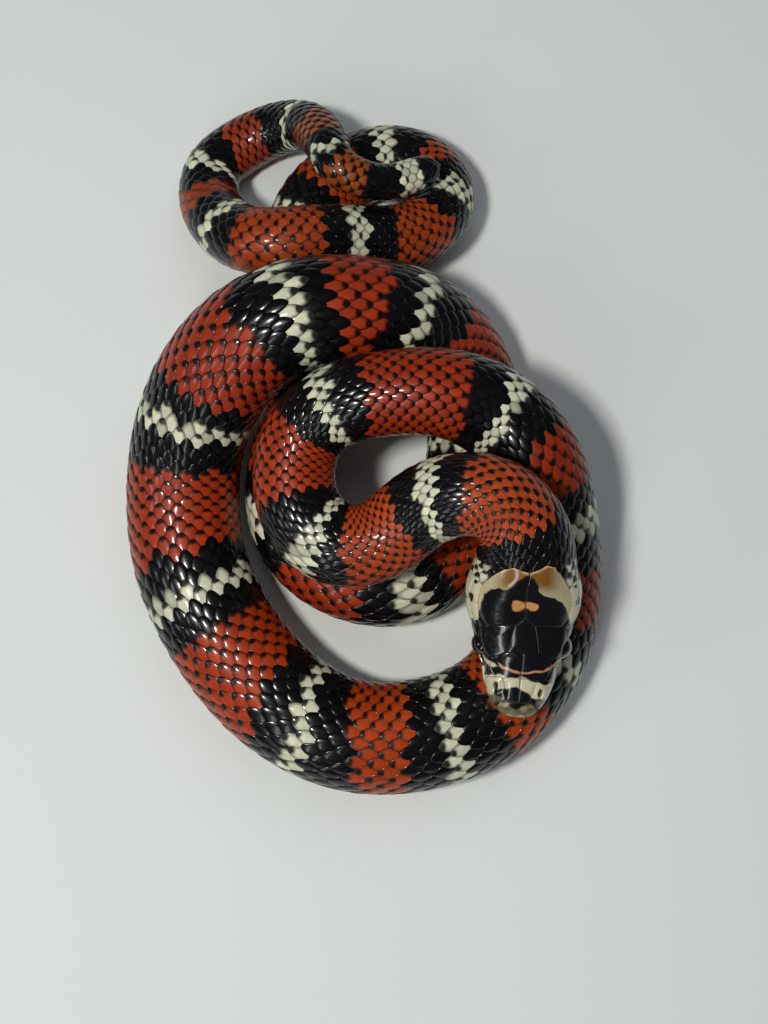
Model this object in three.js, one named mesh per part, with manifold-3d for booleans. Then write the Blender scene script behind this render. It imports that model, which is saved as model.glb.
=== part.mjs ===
// Milk snake hatchling, coiled at rest on the floor, life size.
// Millimetres, +Z up, origin on the floor under the middle of the coils. The snout points to -Y.
import * as THREE from 'three';
import { mergeVertices } from 'three/addons/utils/BufferGeometryUtils.js';
import Module from 'manifold-3d';

const wasm = await Module();
wasm.setup();

// Driving sizes of the body.
const heightToWidth = 0.88;
const bellyFullness = 1.6;
const floorSnap = 0.12;
const bodySides = 24;
const ringStep = 1.5;
const cutGap = 0.3;
const tailTipLength = 1.8;

// Driving sizes of the head, measured from the snout tip along the spine.
const headLength = 13.4;
const jawAngle = 10.4;
const mouthDepth = 0.36;
const mouthGroove = 0.16;
const mouthHalfWidth = 0.13;
const eyeAt = { back: 6.3, out: 3.15, up: 0.62 };
const eyeRadius = 1.0;
const socketGap = 0.3;
const nostrilAt = { back: 2.5, out: 1.95, up: 1.05 };
const nostrilRadius = 0.2;
const nostrilDepth = 0.7;

// Where the middle of the coils lies among the spine stations.
const middle = [-0.1, 0.05];

// The spine in its coils, from the snout to the tail tip, read off the picture by eye:
// x, y, height above the floor, and the width of the body there.
const stations = [
  [13.0, -26.1, 11.0, 3.0],
  [13.5, -20.6, 11.5, 8.0],
  [13.7, -15.2, 13.6, 9.0],
  [13.6, -11.3, 16.0, 8.0],
  [11.6, -8.7, 17.3, 7.2],
  [8.3, -7.9, 17.1, 7.1],
  [4.9, -8.8, 15.0, 7.1],
  [1.6, -11.0, 13.2, 7.0],
  [-2.0, -11.4, 12.6, 7.2],
  [-4.9, -9.2, 12.3, 7.3],
  [-6.0, -5.4, 12.2, 7.2],
  [-5.0, -1.6, 12.7, 7.2],
  [-1.9, 0.6, 14.1, 7.2],
  [2.6, 1.5, 14.6, 7.4],
  [7.2, 1.5, 14.3, 7.7],
  [11.6, -0.1, 13.0, 8.1],
  [14.9, -3.9, 11.8, 8.3],
  [16.6, -9.0, 8.0, 8.5],
  [16.8, -14.7, 4.5, 9.0],
  [15.4, -19.7, 4.1, 9.3],
  [11.5, -24.6, 4.3, 9.6],
  [5.4, -27.2, 4.3, 9.8],
  [-1.2, -27.3, 4.4, 9.9],
  [-7.4, -24.2, 4.4, 10.1],
  [-12.3, -18.8, 4.4, 10.1],
  [-15.5, -12.5, 4.4, 10.1],
  [-16.5, -6.0, 4.7, 10.1],
  [-15.5, 0.3, 7.2, 10.1],
  [-11.9, 5.6, 10.8, 10.2],
  [-6.4, 8.8, 12.8, 9.8],
  [-0.2, 9.7, 11.7, 9.6],
  [4.8, 9.4, 8.2, 9.6],
  [8.4, 6.9, 4.9, 9.3],
  [10.0, 2.6, 3.9, 8.8],
  [9.9, -2.8, 3.8, 8.6],
  [8.2, -8.6, 3.8, 8.6],
  [4.3, -12.6, 3.9, 8.9],
  [-1.2, -12.5, 3.9, 8.9],
  [-5.6, -9.0, 3.8, 8.7],
  [-6.7, -3.6, 3.7, 8.2],
  [-5.7, 2.3, 3.6, 7.8],
  [-5.0, 8.2, 3.4, 7.6],
  [-5.5, 14.2, 3.3, 7.4],
  [-5.8, 19.8, 3.2, 7.2],
  [-3.3, 24.5, 3.1, 7.0],
  [1.4, 27.0, 3.0, 6.8],
  [5.4, 26.3, 3.1, 6.4],
  [7.2, 22.8, 4.3, 6.2],
  [4.8, 19.0, 6.0, 6.2],
  [0.4, 17.8, 7.5, 6.1],
  [-4.2, 17.2, 9.3, 6.2],
  [-8.8, 16.9, 9.5, 6.1],
  [-12.3, 18.7, 7.2, 6.0],
  [-14.5, 22.4, 4.4, 5.8],
  [-14.3, 26.4, 2.8, 5.5],
  [-11.4, 29.1, 2.6, 5.2],
  [-7.9, 30.2, 3.8, 4.9],
  [-5.0, 29.0, 6.6, 4.5],
  [-3.5, 26.2, 9.2, 4.1],
  [-2.0, 23.5, 10.3, 3.7],
  [1.4, 22.6, 9.4, 3.4],
  [4.4, 23.4, 8.8, 3.2],
  [7.0, 24.6, 8.5, 2.6],
];

// Where the body is parted into named lengths, in millimetres of spine from the snout.
const neckEnd = 25;
const bodyEnd = 270;
const bodyLengths = 15;
const tailLengths = 3;

// The head's profile: distance from the snout tip, half width, crown above and jaw below the spine.
const headProfile = [
  [0.0, 0.7, 0.35, 0.45],
  [0.2, 1.25, 0.7, 0.75],
  [0.6, 1.75, 1.1, 1.05],
  [1.4, 2.35, 1.5, 1.3],
  [2.8, 2.95, 1.95, 1.5],
  [4.6, 3.4, 2.35, 1.75],
  [5.4, 3.65, 2.5, 1.85],
  [6.6, 4.0, 2.6, 1.95],
  [8.2, 4.4, 2.7, 2.15],
  [9.8, 4.8, 2.8, 2.4],
  [11.4, 4.85, 3.0, 2.75],
  [12.6, 4.65, 3.3, 3.2],
  [13.4, 4.4, 3.6, 3.6],
];

// Colours read from the picture.
const scaleRed = new THREE.MeshStandardMaterial({ color: '#b23f26', roughness: 0.35, metalness: 0 });
const shieldBlack = new THREE.MeshStandardMaterial({ color: '#1a1c22', roughness: 0.2, metalness: 0 });
const eyeBlack = new THREE.MeshStandardMaterial({ color: '#0b0b0d', roughness: 0.05, metalness: 0 });

const clamp = (value, low, high) => Math.min(Math.max(value, low), high);

const smooth = (from, to, value) => {
  const t = clamp((value - from) / (to - from), 0, 1);
  return t * t * (3 - 2 * t);
};

// Straight-line lookup of one column in a list of rows sorted by their first number.
function lookup(rows, at, column) {
  let i = 0;
  while (i < rows.length - 2 && rows[i + 1][0] < at) i += 1;
  const t = clamp((at - rows[i][0]) / (rows[i + 1][0] - rows[i][0]), 0, 1);
  return rows[i][column] + (rows[i + 1][column] - rows[i][column]) * t;
}

// A row before the first and after the last, in line with their neighbours.
function padded(rows) {
  const mirror = (a, b) => a.map((value, k) => 2 * value - b[k]);
  const last = rows.length - 1;
  return [mirror(rows[0], rows[1]), ...rows, mirror(rows[last], rows[last - 1])];
}

// Control rows of the uniform cubic B-spline that passes through the given rows.
function controlRows(rows) {
  let control = rows;
  for (let pass = 0; pass < 60; pass += 1) {
    const e = padded(control);
    control = rows.map((row, i) => row.map((value, k) => {
      const reached = (e[i][k] + 4 * e[i + 1][k] + e[i + 2][k]) / 6;
      return control[i][k] + value - reached;
    }));
  }
  return padded(control);
}

// The spine as rows of x, y, z and width at even distances along it.
function evenSpine(rows, spacing) {
  const e = controlRows(rows);
  const perSpan = 60;
  const dense = [];
  for (let i = 0; i < rows.length - 1; i += 1) {
    for (let j = 0; j < perSpan; j += 1) {
      const f = j / perSpan;
      const weights = [(1 - f) ** 3, 3 * f ** 3 - 6 * f ** 2 + 4, -3 * f ** 3 + 3 * f ** 2 + 3 * f + 1, f ** 3];
      dense.push(rows[0].map((_, k) => weights.reduce((sum, w, m) => sum + w * e[i + m][k], 0) / 6));
    }
  }
  dense.push(rows[rows.length - 1]);
  let travelled = 0;
  const measured = dense.map((row, i) => {
    if (i > 0) travelled += Math.hypot(...[0, 1, 2].map((k) => row[k] - dense[i - 1][k]));
    return [travelled, ...row];
  });
  const count = Math.round(travelled / spacing);
  const even = [];
  let near = 0;
  for (let i = 0; i <= count; i += 1) {
    const at = (travelled * i) / count;
    while (near < measured.length - 2 && measured[near + 1][0] < at) near += 1;
    const pair = [measured[near], measured[near + 1]];
    even.push([at, 1, 2, 3, 4].map((column, k) => (k === 0 ? at : lookup(pair, at, column))));
  }
  return even;
}

const spine = evenSpine(stations, 0.2);
const spineLength = spine[spine.length - 1][0];

// Position, width and directions at a distance along the spine:
// along runs to the tail, up is the animal's back, and side completes them.
function spineAt(distance) {
  const index = (distance / spineLength) * (spine.length - 1);
  const i = clamp(Math.floor(index), 1, spine.length - 3);
  const point = (j) => new THREE.Vector3(spine[j][1] - middle[0], spine[j][2] - middle[1], spine[j][3]);
  const t = index - i;
  const centre = point(i).lerp(point(i + 1), t);
  const before = point(i).sub(point(i - 1));
  const after = point(i + 2).sub(point(i + 1));
  const here = point(i + 1).sub(point(i));
  const along = here.clone().add(t < 0.5 ? before.lerp(here, t + 0.5) : here.clone().lerp(after, t - 0.5));
  along.normalize();
  const up = new THREE.Vector3(0, 0, 1).addScaledVector(along, -along.z).normalize();
  const side = new THREE.Vector3().crossVectors(along, up);
  const width = spine[i][4] + (spine[i + 1][4] - spine[i][4]) * t;
  return { centre, along, up, side, width };
}

// One point of a ring: out to the side and up from the spine, kept above the floor.
function ringPoint(frame, out, rise) {
  const p = frame.centre.clone().addScaledVector(frame.side, out).addScaledVector(frame.up, rise);
  if (p.z < floorSnap) p.z = 0;
  return p;
}

// The body's section: round above, fuller and flatter at the belly.
function bodySection(angle, halfWidth, halfHeight) {
  const s = Math.sin(angle);
  const rise = s >= 0 ? s : -(1 - (1 - Math.abs(s)) ** bellyFullness);
  return [halfWidth * Math.cos(angle), halfHeight * rise];
}

function bodyRing(distance) {
  const frame = spineAt(distance);
  const tip = clamp((distance - (spineLength - tailTipLength)) / tailTipLength, 0, 0.97);
  const half = (frame.width / 2) * Math.sqrt(1 - tip * tip);
  const ring = [];
  for (let j = 0; j < bodySides; j += 1) {
    const [out, rise] = bodySection((2 * Math.PI * j) / bodySides, half, half * heightToWidth);
    ring.push(ringPoint(frame, out, rise));
  }
  return ring;
}

// Angles round the head's section, with close rows at the lips on both sides.
function headAngles() {
  const lip = Math.asin(mouthDepth);
  const crown = Array.from({ length: 17 }, (_, j) => -lip + ((Math.PI + 2 * lip) * (j + 1)) / 18);
  const throat = Array.from({ length: 8 }, (_, j) => Math.PI + lip + ((Math.PI - 2 * lip) * (j + 1)) / 9);
  return { crown, throat, lip };
}

// The head's section at a distance from the snout: flatter crown, and a groove for the line of the mouth.
function headRing(distance) {
  const frame = spineAt(distance);
  const halfWidth = lookup(headProfile, distance, 1);
  const crownRise = lookup(headProfile, distance, 2);
  const jawDrop = lookup(headProfile, distance, 3);
  const neckLike = smooth(9, headLength, distance);
  const square = 0.86 + 0.14 * neckLike;
  const groove = mouthGroove * smooth(0, 0.5, distance) * (1 - smooth(jawAngle - 1, jawAngle, distance));
  const point = (angle, inset, shift) => {
    const c = Math.cos(angle);
    const s = Math.sin(angle);
    const out = (halfWidth - inset) * Math.sign(c) * Math.abs(c) ** square;
    const below = Math.abs(s) ** square * (1 - neckLike) + (1 - (1 - Math.abs(s)) ** bellyFullness) * neckLike;
    const rise = s >= 0 ? crownRise * s ** square : -jawDrop * below;
    return ringPoint(frame, out, rise + shift);
  };
  const { crown, throat, lip } = headAngles();
  const near = point(-lip, 0, mouthHalfWidth);
  const far = point(Math.PI + lip, 0, mouthHalfWidth);
  return [
    near,
    ...crown.map((angle) => point(angle, 0, 0)),
    far,
    point(Math.PI + lip, groove, 0),
    point(Math.PI + lip, 0, -mouthHalfWidth),
    ...throat.map((angle) => point(angle, 0, 0)),
    point(-lip, 0, -mouthHalfWidth),
    point(-lip, groove, 0),
  ];
}

// A closed solid through a row of rings, with a flat cap at each end.
function loft(rings) {
  const sides = rings[0].length;
  const positions = rings.flat().flatMap((p) => [p.x, p.y, p.z]);
  const faces = [];
  for (let i = 0; i < rings.length - 1; i += 1) {
    for (let j = 0; j < sides; j += 1) {
      const a = i * sides + j;
      const b = i * sides + ((j + 1) % sides);
      faces.push(a, b + sides, b, a, a + sides, b + sides);
    }
  }
  for (const [ring, first, outward] of [[rings[0], 0, false], [rings.at(-1), (rings.length - 1) * sides, true]]) {
    const centre = ring.reduce((sum, p) => sum.add(p), new THREE.Vector3()).divideScalar(sides);
    const hub = positions.length / 3;
    positions.push(centre.x, centre.y, centre.z);
    for (let j = 0; j < sides; j += 1) {
      const a = first + j;
      const b = first + ((j + 1) % sides);
      faces.push(...(outward ? [hub, b, a] : [hub, a, b]));
    }
  }
  const geometry = new THREE.BufferGeometry();
  geometry.setAttribute('position', new THREE.Float32BufferAttribute(positions, 3));
  geometry.setIndex(faces);
  return geometry;
}

function toSolid(geometry) {
  const plain = geometry.clone();
  plain.deleteAttribute('normal');
  plain.deleteAttribute('uv');
  const merged = mergeVertices(plain, 1e-4);
  const vertProperties = new Float32Array(merged.attributes.position.array);
  const triVerts = new Uint32Array(merged.index.array);
  return new wasm.Manifold(new wasm.Mesh({ numProp: 3, vertProperties, triVerts }));
}

function toGeometry(solid) {
  const mesh = solid.getMesh();
  const geometry = new THREE.BufferGeometry();
  geometry.setAttribute('position', new THREE.Float32BufferAttribute(mesh.vertProperties, 3));
  geometry.setIndex([...mesh.triVerts]);
  return geometry;
}

function namedMesh(name, geometry, material) {
  const mesh = new THREE.Mesh(geometry, material);
  mesh.name = name;
  return mesh;
}

// A place on the head, from sizes measured along, across and above its spine.
function onHead({ back, out, up }, hand) {
  const frame = spineAt(back);
  return frame.centre.clone().addScaledVector(frame.side, hand * out).addScaledVector(frame.up, up);
}

function ball(radius, centre) {
  return new THREE.SphereGeometry(radius, 20, 14).translate(centre.x, centre.y, centre.z);
}

// A nostril pit: a short slanted peg cut into the side of the snout.
function nostrilPeg(hand) {
  const frame = spineAt(nostrilAt.back);
  const peg = new THREE.CylinderGeometry(nostrilRadius, nostrilRadius, nostrilDepth, 10);
  const outward = frame.side.clone().multiplyScalar(hand).addScaledVector(frame.up, 0.9).normalize();
  peg.applyQuaternion(new THREE.Quaternion().setFromUnitVectors(new THREE.Vector3(0, 1, 0), outward));
  const centre = onHead(nostrilAt, hand);
  return peg.translate(centre.x, centre.y, centre.z);
}

// The line of the mouth across the front of the snout.
function frontMouthSlot() {
  const frame = spineAt(0.1);
  const slot = new THREE.BoxGeometry(2.6, 0.5, mouthHalfWidth);
  slot.applyMatrix4(new THREE.Matrix4().makeBasis(frame.side, frame.along, frame.up.clone()));
  const drop = -lookup(headProfile, 0.4, 3) * mouthDepth;
  const centre = frame.centre.clone().addScaledVector(frame.up, drop).addScaledVector(frame.along, -0.12);
  return slot.translate(centre.x, centre.y, centre.z);
}

function ringDistances(from, to) {
  const count = Math.ceil((to - from) / ringStep);
  return Array.from({ length: count + 1 }, (_, i) => from + ((to - from) * i) / count);
}

function buildHead() {
  const front = headProfile.slice(0, 4).map((row) => row[0]);
  const back = ringDistances(front.at(-1), headLength - cutGap / 2).slice(1);
  let head = toSolid(loft([...front, ...back].map(headRing)));
  for (const hand of [1, -1]) {
    head = head.subtract(toSolid(ball(eyeRadius + socketGap, onHead(eyeAt, hand))));
    head = head.subtract(toSolid(nostrilPeg(hand)));
  }
  head = head.subtract(toSolid(frontMouthSlot()));
  return namedMesh('head', toGeometry(head), shieldBlack);
}

function buildEye(name, hand) {
  const eye = toSolid(ball(eyeRadius, onHead(eyeAt, hand)));
  return namedMesh(name, toGeometry(eye), eyeBlack);
}

// A length of body between two cuts square to the spine.
function buildLength(name, from, to) {
  const start = from + cutGap / 2;
  const end = to === spineLength ? to : to - cutGap / 2;
  const distances = ringDistances(start, end);
  if (to === spineLength) {
    const round = [0.35, 0.6, 0.8, 0.93].map((part) => spineLength - tailTipLength * (1 - part));
    const kept = distances.filter((d) => d < spineLength - tailTipLength);
    distances.splice(0, distances.length, ...kept, spineLength - tailTipLength, ...round, spineLength);
  }
  return namedMesh(name, loft(distances.map(bodyRing)), scaleRed);
}

function buildSnake() {
  const snake = new THREE.Group();
  snake.add(buildHead(), buildEye('eye_left', 1), buildEye('eye_right', -1));
  snake.add(buildLength('neck', headLength, neckEnd));
  const bodyStep = (bodyEnd - neckEnd) / bodyLengths;
  for (let i = 0; i < bodyLengths; i += 1) {
    const from = neckEnd + bodyStep * i;
    snake.add(buildLength(`body_${i + 1}`, from, from + bodyStep));
  }
  const tailStep = (spineLength - bodyEnd) / tailLengths;
  for (let i = 0; i < tailLengths; i += 1) {
    const from = bodyEnd + tailStep * i;
    const to = i === tailLengths - 1 ? spineLength : from + tailStep;
    snake.add(buildLength(`tail_${i + 1}`, from, to));
  }
  return snake;
}

export default buildSnake();
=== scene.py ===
"""Milk snake hatchling, coiled at rest on the floor: its skin, scales, head shields and eyes.

Sizes are millimetres of the living animal; put_mesh turns them to metres.
+Z is up, and the snout points to -Y.
"""
from functools import partial
import bpy
import numpy as np
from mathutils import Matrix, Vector


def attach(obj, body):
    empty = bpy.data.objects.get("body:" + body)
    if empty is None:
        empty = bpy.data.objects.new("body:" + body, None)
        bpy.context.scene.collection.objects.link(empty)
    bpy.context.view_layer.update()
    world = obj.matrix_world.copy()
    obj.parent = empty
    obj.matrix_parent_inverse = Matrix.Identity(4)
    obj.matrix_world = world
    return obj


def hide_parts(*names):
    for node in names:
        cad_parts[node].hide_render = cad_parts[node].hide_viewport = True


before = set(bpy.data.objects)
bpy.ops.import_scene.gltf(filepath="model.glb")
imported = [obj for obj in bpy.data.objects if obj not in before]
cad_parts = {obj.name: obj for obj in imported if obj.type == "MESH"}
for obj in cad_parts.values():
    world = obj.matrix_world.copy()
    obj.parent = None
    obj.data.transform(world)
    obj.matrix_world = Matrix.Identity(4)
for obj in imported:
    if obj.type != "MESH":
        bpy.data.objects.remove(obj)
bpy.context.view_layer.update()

MM = 0.001

# The spine in its coils, from the snout to the tail tip: x, y, height and width, as in the solids.
STATIONS = np.array([
    (13, -26.1, 11, 3), (13.5, -20.6, 11.5, 8), (13.7, -15.2, 13.6, 9), (13.6, -11.3, 16, 8),
    (11.6, -8.7, 17.3, 7.2), (8.3, -7.9, 17.1, 7.1), (4.9, -8.8, 15, 7.1), (1.6, -11, 13.2, 7),
    (-2, -11.4, 12.6, 7.2), (-4.9, -9.2, 12.3, 7.3), (-6, -5.4, 12.2, 7.2), (-5, -1.6, 12.7, 7.2),
    (-1.9, 0.6, 14.1, 7.2), (2.6, 1.5, 14.6, 7.4), (7.2, 1.5, 14.3, 7.7), (11.6, -0.1, 13, 8.1),
    (14.9, -3.9, 11.8, 8.3), (16.6, -9, 8, 8.5), (16.8, -14.7, 4.5, 9), (15.4, -19.7, 4.1, 9.3),
    (11.5, -24.6, 4.3, 9.6), (5.4, -27.2, 4.3, 9.8), (-1.2, -27.3, 4.4, 9.9), (-7.4, -24.2, 4.4, 10.1),
    (-12.3, -18.8, 4.4, 10.1), (-15.5, -12.5, 4.4, 10.1), (-16.5, -6, 4.7, 10.1), (-15.5, 0.3, 7.2, 10.1),
    (-11.9, 5.6, 10.8, 10.2), (-6.4, 8.8, 12.8, 9.8), (-0.2, 9.7, 11.7, 9.6), (4.8, 9.4, 8.2, 9.6),
    (8.4, 6.9, 4.9, 9.3), (10, 2.6, 3.9, 8.8), (9.9, -2.8, 3.8, 8.6), (8.2, -8.6, 3.8, 8.6),
    (4.3, -12.6, 3.9, 8.9), (-1.2, -12.5, 3.9, 8.9), (-5.6, -9, 3.8, 8.7), (-6.7, -3.6, 3.7, 8.2),
    (-5.7, 2.3, 3.6, 7.8), (-5, 8.2, 3.4, 7.6), (-5.5, 14.2, 3.3, 7.4), (-5.8, 19.8, 3.2, 7.2),
    (-3.3, 24.5, 3.1, 7), (1.4, 27, 3, 6.8), (5.4, 26.3, 3.1, 6.4), (7.2, 22.8, 4.3, 6.2),
    (4.8, 19, 6, 6.2), (0.4, 17.8, 7.5, 6.1), (-4.2, 17.2, 9.3, 6.2), (-8.8, 16.9, 9.5, 6.1),
    (-12.3, 18.7, 7.2, 6), (-14.5, 22.4, 4.4, 5.8), (-14.3, 26.4, 2.8, 5.5), (-11.4, 29.1, 2.6, 5.2),
    (-7.9, 30.2, 3.8, 4.9), (-5, 29, 6.6, 4.5), (-3.5, 26.2, 9.2, 4.1), (-2, 23.5, 10.3, 3.7),
    (1.4, 22.6, 9.4, 3.4), (4.4, 23.4, 8.8, 3.2), (7, 24.6, 8.5, 2.6),
])
MIDDLE = (-0.1, 0.05)
TAIL_TIP = 1.8
HEIGHT_TO_WIDTH = 0.88
BELLY_FULLNESS = 1.6

# The head: distance from the snout tip, half width, crown above and jaw below the spine.
HEAD_PROFILE = np.array([
    (0, 0, 0, 0), (0.06, 0.7, 0.35, 0.45), (0.2, 1.2, 0.68, 0.72), (0.6, 1.75, 1.1, 1.05),
    (1.4, 2.35, 1.5, 1.3), (2.8, 2.95, 1.95, 1.5), (4.6, 3.4, 2.35, 1.75), (5.4, 3.65, 2.5, 1.85),
    (6.6, 4, 2.6, 1.95), (8.2, 4.4, 2.76, 2.15), (9.8, 4.8, 3.06, 2.4), (11.4, 4.85, 3.46, 2.75),
    (12.6, 4.65, 3.72, 3.2), (13.4, 4.4, 3.84, 3.6), (15, 4.1, 3.72, 3.7),
])
HEAD_LENGTH = 13.4
# How far back the head shields reach.
HEAD_CHART = 15
NECK_START = 9
MOUTH_TURN = 111.1
MOUTH_LENGTH = 10.6
# Soft forms of the head: height in mm, distance back, turn, and how long and how far round each is.
HEAD_FORMS = [
    (0.16, 6.3, 52, 1.5, 13),   # brow
    (-0.22, 4.1, 74, 1.0, 14),  # hollow before the eye
    (0.10, 10.2, 96, 1.7, 18),  # jaw muscle
    (-0.10, 8.9, 74, 0.9, 12),  # hollow behind the eye
    (-0.07, 11.0, 0, 2.6, 9),   # flatter middle of the crown
]
EYE = {"back": 6.3, "turn": 79, "out": 3.2, "up": 0.62, "radius": 1.08, "rim": 0.95}
# Each nostril's distance back and turn, by side.
NOSTRILS = {1: (2.15, 40.0), -1: (2.45, 42.0)}

# How deep the skin lies under the solids' surface, where the scales and shields fill up to it.
SKIN_DEPTH = 0.13
# The step along a row that the heights of scales are given for. Smaller scales are lower in proportion.
FULL_STEP = 1.6
# Half the width of a small piece's own patch on the flat unwrap.
PATCH = 0.0015
# The skin's grid: points round, rows on the head, where the body's rows start and how far apart they are.
SKIN_ROUND, HEAD_ROWS, BODY_ROWS_START, BODY_ROWS_STEP = 118, 112, 16.8, 0.85
# How deep the skin is hollowed: the mouth's groove, the line beside it, under the eyes and in the nostrils.
GROOVE, LIP_LINE, EYE_BOWL, NOSTRIL_BOWL = 0.20, 0.10, 0.85, 0.55
# A scale's thickness, slope towards the tail, dome, step down at the rim and underside's depth.
SCALE_THICK, SCALE_SLOPE, SCALE_DOME, SCALE_STEP, SCALE_SUNK = 0.105, 0.095, 0.085, 0.022, 0.06
# A head shield's distance from its outline, dome and depth.
SHIELD_GAP, SHIELD_DOME, SHIELD_DEPTH = 0.02, 0.035, 0.24


def linear(code):
    """An sRGB hex colour as linear red, green and blue."""
    c = np.array([int(code[i:i + 2], 16) for i in (1, 3, 5)]) / 255
    return np.where(c <= 0.04045, c / 12.92, ((c + 0.055) / 1.055) ** 2.4)


def smooth(low, high, x):
    """0 below low, 1 above high, and 3t^2 - 2t^3 between."""
    t = np.clip((x - low) / (high - low), 0, 1)
    return t * t * (3 - 2 * t)


def bump_at(x, y, wide, tall):
    """A rounded hill: e to the minus (x/wide)^2 + (y/tall)^2."""
    return np.exp(-(x / wide) ** 2 - (y / tall) ** 2)


def along_line(points):
    """How far along a line each of its points is: the sum of the steps before it."""
    return np.concatenate([[0], np.cumsum(np.linalg.norm(np.diff(points, axis=0), axis=1))])


def even_spine(rows, spacing):
    """The cubic B-spline through the stations, read at even distances along it. Its control points start at the
    stations, and each round moves them by what the curve misses: station - (before + 4 own + after) / 6."""
    def padded(r):
        """The rows with one more at each end, on the straight line on."""
        return np.vstack([2 * r[0] - r[1], r, 2 * r[-1] - r[-2]])
    control = rows.copy()
    for _ in range(60):
        e = padded(control)
        control = control + rows - (e[:-2] + 4 * e[1:-1] + e[2:]) / 6
    e = padded(control)
    spans = len(rows) - 1
    t = np.linspace(0, spans, spans * 60 + 1)
    i = np.minimum(t.astype(int), spans - 1)
    f = (t - i)[:, None]
    dense = ((1 - f) ** 3 * e[i] + (3 * f ** 3 - 6 * f ** 2 + 4) * e[i + 1]
             + (-3 * f ** 3 + 3 * f ** 2 + 3 * f + 1) * e[i + 2] + f ** 3 * e[i + 3]) / 6
    gone = along_line(dense[:, :3])
    at = np.linspace(0, gone[-1], round(gone[-1] / spacing) + 1)
    return at, np.column_stack([np.interp(at, gone, dense[:, k]) for k in range(4)])


def unit(v):
    """Each vector divided by its length."""
    return v / np.linalg.norm(v, axis=-1, keepdims=True)


SPINE_AT, SPINE = even_spine(STATIONS, 0.2)
SPINE[:, :2] -= MIDDLE
LENGTH = SPINE_AT[-1]
ALONG = unit(np.gradient(SPINE[:, :3], axis=0))
UP = unit(np.array([0, 0, 1.0]) - ALONG * ALONG[:, 2:3])
SIDE = np.cross(ALONG, UP)


def through(rows, column, x):
    """A smooth curve through the rows: cubic between them, with each slope the mean of its two sides,
    over the square root of the distance, so that the snout is round."""
    k, v = np.sqrt(rows[:, 0]), rows[:, column]
    step = np.diff(v) / np.diff(k)
    slope = np.concatenate([[step[0]], (step[1:] + step[:-1]) / 2, [step[-1]]])
    x = np.sqrt(np.clip(x, 0, rows[-1, 0]))
    i = np.clip(np.searchsorted(k, x, side="right") - 1, 0, len(k) - 2)
    h = k[i + 1] - k[i]
    t = (x - k[i]) / h
    return ((1 + 2 * t) * (1 - t) ** 2 * v[i] + t * (1 - t) ** 2 * h * slope[i]
            + t * t * (3 - 2 * t) * v[i + 1] - t * t * (1 - t) * h * slope[i + 1])


def girth(s):
    """Half width, height above and depth below the spine: the head's profile passing into the body's, which is
    rounded off at the tail by the root of 1 - tip^2."""
    tip = np.clip((s - (LENGTH - TAIL_TIP)) / TAIL_TIP, 0, 1)
    body = np.interp(s, SPINE_AT, SPINE[:, 3]) / 2 * np.sqrt(1 - tip ** 2)
    k = smooth(HEAD_LENGTH - 1.2, HEAD_LENGTH + 1.4, s)
    return [through(HEAD_PROFILE, column, s) * (1 - k) + body * share * k
            for column, share in ((1, 1), (2, HEIGHT_TO_WIDTH), (3, HEIGHT_TO_WIDTH))]


def squareness(s):
    """The power that the section's sine and cosine are raised to: 0.86 at the head and 1 from the neck on."""
    return 0.86 + 0.14 * smooth(NECK_START, HEAD_LENGTH, s)


def section(s, turn):
    """Out and rise from the spine: half width * sine ^ squareness and height * cosine ^ squareness, but from the neck
    on, depth * (1 - (1 - cosine) ^ fullness) at the belly. Turn is in degrees round the body: 0 on the back, 90 at
    its left side, 180 at the belly."""
    half, crown, jaw = girth(s)
    a = np.radians(turn)
    c, r = np.sin(a), np.cos(a)
    neck = smooth(NECK_START, HEAD_LENGTH, s)
    square = squareness(s)
    below = np.abs(r) ** square * (1 - neck) + (1 - (1 - np.abs(r)) ** BELLY_FULLNESS) * neck
    return half * np.sign(c) * np.abs(c) ** square, np.where(r >= 0, crown * np.abs(r) ** square, -jaw * below)


def head_forms(s, turn):
    """The sum of the head's soft forms, each a rounded hill or hollow."""
    t = np.abs(((turn + 180) % 360) - 180)
    return sum(high * bump_at(s - d, t - at, wide, tall) for high, d, at, wide, tall in HEAD_FORMS) * (s < 16)


def spine_frame(s):
    """The spine's point at a distance, and the ways along, up and to the left there, by linear interpolation."""
    return [np.stack([np.interp(s, SPINE_AT, t[:, k]) for k in range(3)], -1) for t in (SPINE, ALONG, UP, SIDE)]


def surface(s, turn, lift, floor=0.0):
    """A point over the spine: its section's point, moved out by lift along the surface's own normal. The normal is
    square to the steps to the places just beside it and just ahead of it, and leans along by 6 to 1 at most."""
    s, turn = np.broadcast_arrays(np.asarray(s, float), np.asarray(turn, float))
    d = np.clip(s, 0, LENGTH)
    back, ahead = [np.clip(d + e, 0, LENGTH) for e in (-0.04, 0.04)]
    out, rise = section(d, turn)
    (out_a, rise_a), (out_b, rise_b) = section(back, turn), section(ahead, turn)
    (out_c, rise_c), (out_d, rise_d) = section(d, turn - 1), section(d, turn + 1)
    round_o, round_r = out_d - out_c, rise_d - rise_c
    size = np.hypot(round_o, round_r) + 1e-9
    n_out, n_rise = -round_r / size, round_o / size
    n_along = np.clip(-((out_b - out_a) * n_out + (rise_b - rise_a) * n_rise) / (ahead - back), -6, 6)
    scale = (lift + head_forms(d, turn)) / np.sqrt(1 + n_along ** 2)
    centre, along, up, side = spine_frame(d)
    point = (centre + side * (out + n_out * scale)[..., None] + up * (rise + n_rise * scale)[..., None]
             + along * (n_along * scale)[..., None])
    point[..., 2] = np.maximum(point[..., 2], floor)
    return point


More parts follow.
